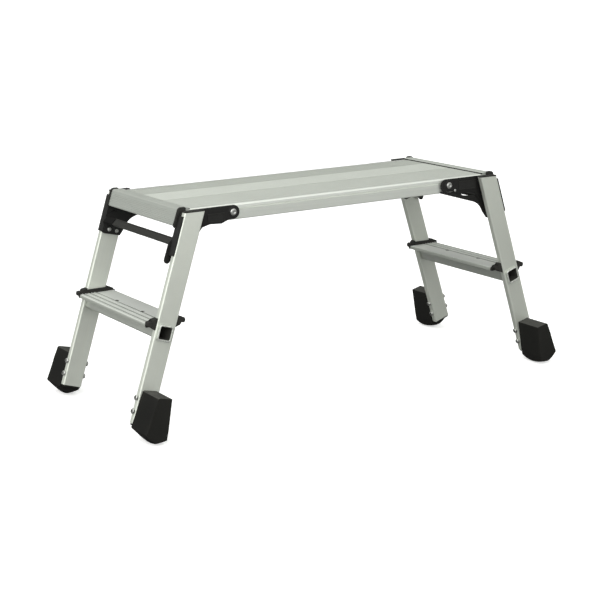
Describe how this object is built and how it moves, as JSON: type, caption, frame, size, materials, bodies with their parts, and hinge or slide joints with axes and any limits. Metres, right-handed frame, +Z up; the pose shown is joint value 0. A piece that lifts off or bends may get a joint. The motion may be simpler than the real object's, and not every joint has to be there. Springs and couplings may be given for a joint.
{
  "type": "folding work platform bench",
  "caption": "Low aluminium work platform with a long deck on two folding leg frames, each with a step, rubber feet and a release bar that frees its lock lever.",
  "frame": {"origin": "on the floor, under the middle of the deck", "axes": "+X along the deck to its right end, +Y to the rear, +Z up"},
  "size_m": [1.202, 0.53, 0.5066],
  "materials": {
    "deck_aluminium": "extruded deck plank, satin, fine lengthwise lines",
    "rail_aluminium": "satin extrusion with a bright rounded edge",
    "nosing_aluminium": "duller ribbed extrusion",
    "stile_aluminium": "satin drawn tube",
    "tread_aluminium": "satin sheet with raised ridges",
    "rivet_steel": "plated steel, lightly scratched",
    "bracket_black": "black coated pressed steel, half gloss",
    "trim_black": "moulded black plastic, fine texture",
    "foot_rubber": "dark grey moulded rubber"
  },
  "bodies": {
    "deck": {"side_rail_front": "rail_aluminium", "side_rail_rear": "rail_aluminium", "deck_plank_front": "deck_aluminium", "deck_plank_middle": "deck_aluminium", "deck_plank_rear": "deck_aluminium", "cross_member": "rail_aluminium", "end_nosing_right": "nosing_aluminium", "lock_stud_right": "rivet_steel", "nosing_cap_front_right": "trim_black", "pivot_pin_front_right": "rivet_steel", "nosing_cap_rear_right": "trim_black", "pivot_pin_rear_right": "rivet_steel", "end_nosing_left": "nosing_aluminium", "lock_stud_left": "rivet_steel", "nosing_cap_front_left": "trim_black", "pivot_pin_front_left": "rivet_steel", "nosing_cap_rear_left": "trim_black", "pivot_pin_rear_left": "rivet_steel"},
    "leg_left": {"stile_front_left": "stile_aluminium", "stile_plug_front_left": "trim_black", "bracket_front_left": "bracket_black", "foot_front_left": "foot_rubber", "foot_rivet_low_front_left": "rivet_steel", "foot_rivet_high_front_left": "rivet_steel", "tread_cap_front_left": "trim_black", "release_pin_front_left": "rivet_steel", "stile_rear_left": "stile_aluminium", "stile_plug_rear_left": "trim_black", "bracket_rear_left": "bracket_black", "foot_rear_left": "foot_rubber", "foot_rivet_low_rear_left": "rivet_steel", "foot_rivet_high_rear_left": "rivet_steel", "tread_cap_rear_left": "trim_black", "release_pin_rear_left": "rivet_steel", "step_tread_left": "tread_aluminium", "brace_tube_left": "stile_aluminium"},
    "leg_right": {"stile_front_right": "stile_aluminium", "stile_plug_front_right": "trim_black", "bracket_front_right": "bracket_black", "foot_front_right": "foot_rubber", "foot_rivet_low_front_right": "rivet_steel", "foot_rivet_high_front_right": "rivet_steel", "tread_cap_front_right": "trim_black", "release_pin_front_right": "rivet_steel", "stile_rear_right": "stile_aluminium", "stile_plug_rear_right": "trim_black", "bracket_rear_right": "bracket_black", "foot_rear_right": "foot_rubber", "foot_rivet_low_rear_right": "rivet_steel", "foot_rivet_high_rear_right": "rivet_steel", "tread_cap_rear_right": "trim_black", "release_pin_rear_right": "rivet_steel", "step_tread_right": "tread_aluminium", "brace_tube_right": "stile_aluminium"},
    "release_left": {"release_bar_left": "trim_black", "lock_lever_left": "bracket_black", "release_tail_left": "bracket_black"},
    "release_right": {"release_bar_right": "trim_black", "lock_lever_right": "bracket_black", "release_tail_right": "bracket_black"}
  },
  "joints": [
    {"name": "right_fold", "type": "hinge", "parent": "deck", "child": "leg_right", "pos_m": [0.313, 0, 0.4825], "axis": [0, 1, 0], "range_deg": [0, 98]},
    {"name": "left_fold", "type": "hinge", "parent": "deck", "child": "leg_left", "pos_m": [-0.313, 0, 0.4825], "axis": [0, -1, 0], "range_deg": [0, 114]},
    {"name": "right_release", "type": "hinge", "parent": "leg_right", "child": "release_right", "pos_m": [0.46455, 0, 0.40771], "axis": [0, -1, 0], "range_deg": [0, 8], "stiffness_Nm_per_rad": 3, "springref_deg": -11.46},
    {"name": "left_release", "type": "hinge", "parent": "leg_left", "child": "release_left", "pos_m": [-0.46455, 0, 0.40771], "axis": [0, 1, 0], "range_deg": [0, 8], "stiffness_Nm_per_rad": 3, "springref_deg": -11.46}
  ]
}
